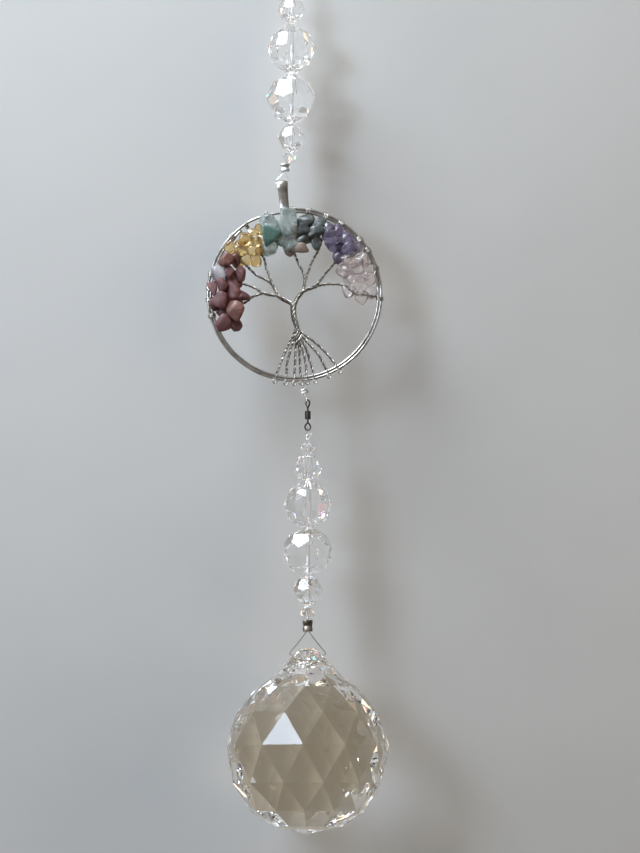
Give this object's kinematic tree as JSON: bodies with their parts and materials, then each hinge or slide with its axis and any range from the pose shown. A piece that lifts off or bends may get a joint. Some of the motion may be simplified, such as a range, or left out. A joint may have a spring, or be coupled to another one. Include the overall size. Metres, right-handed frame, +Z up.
{
  "type": "crystal suncatcher",
  "caption": "Hanging crystal suncatcher: clear faceted beads, a wire tree-of-life ring with gem chips, a swivel and a faceted glass ball.",
  "frame": {"origin": "inside top of the hanging loop, where it rests on its hook", "axes": "+Z up along the line the piece hangs on, front towards -Y, pendant ring in the XZ plane"},
  "size_m": [0.0455, 0.0404, 0.2341],
  "materials": {
    "crystal_glass": "polished clear lead crystal",
    "clear_line": "clear monofilament",
    "silver_plate": "silver-plated wire, slightly dulled",
    "aged_bronze": "aged bronze",
    "dark_bronze": "blackened brass",
    "jasper": "tumbled, waxy",
    "carnelian": "tumbled, waxy",
    "moonstone": "tumbled, milky",
    "citrine": "tumbled, clear yellow",
    "aventurine": "tumbled, milky green",
    "greenstone": "tumbled, waxy",
    "darkstone": "tumbled, dark grey-green",
    "sandstone": "tumbled, beige and brown",
    "amethyst": "tumbled, clear violet",
    "quartz": "tumbled, clear with a lilac tint"
  },
  "bodies": {
    "upper": {"amethyst_chip_1": "amethyst", "amethyst_chip_2": "amethyst", "amethyst_chip_3": "amethyst", "amethyst_chip_4": "amethyst", "aventurine_chip_1": "aventurine", "aventurine_chip_2": "aventurine", "aventurine_chip_3": "aventurine", "aventurine_chip_4": "aventurine", "bail_crimp_tube": "silver_plate", "carnelian_chip_1": "carnelian", "carnelian_chip_2": "carnelian", "carnelian_chip_3": "carnelian", "citrine_chip_1": "citrine", "citrine_chip_2": "citrine", "citrine_chip_3": "citrine", "citrine_chip_4": "citrine", "darkstone_chip_1": "darkstone", "darkstone_chip_2": "darkstone", "darkstone_chip_3": "darkstone", "drop_crimp_tube": "silver_plate", "drop_line": "clear_line", "greenstone_chip_1": "greenstone", "jasper_chip_1": "jasper", "jasper_chip_2": "jasper", "jasper_chip_3": "jasper", "jasper_chip_4": "jasper", "jasper_chip_5": "jasper", "jasper_chip_6": "jasper", "moonstone_chip_1": "moonstone", "pendant_bail": "silver_plate", "pendant_ring": "silver_plate", "quartz_chip_1": "quartz", "quartz_chip_2": "quartz", "quartz_chip_3": "quartz", "quartz_chip_4": "quartz", "quartz_chip_5": "quartz", "sandstone_chip_1": "sandstone", "swivel_barrel": "dark_bronze", "swivel_upper_eye": "dark_bronze", "top_crimp_tube": "silver_plate", "tree_wires": "silver_plate", "upper_large_bead_1": "crystal_glass", "upper_large_bead_2": "crystal_glass", "upper_line": "clear_line", "upper_small_bead_1": "crystal_glass", "upper_small_bead_2": "crystal_glass", "upper_tiny_bead_1": "crystal_glass", "upper_tiny_bead_2": "crystal_glass"},
    "lower": {"ball_crimp_tube": "aged_bronze", "crystal_ball": "crystal_glass", "lower_large_bead_1": "crystal_glass", "lower_large_bead_2": "crystal_glass", "lower_line": "clear_line", "lower_small_bead_1": "crystal_glass", "lower_small_bead_2": "crystal_glass", "lower_tiny_bead_1": "crystal_glass", "lower_tiny_bead_2": "crystal_glass", "swivel_lower_eye": "dark_bronze"}
  },
  "joints": [
    {"name": "swivel_turn", "type": "hinge", "parent": "upper", "child": "lower", "pos_m": [0.0042, 0, -0.13005], "axis": [0, 0, 1], "continuous": true}
  ]
}
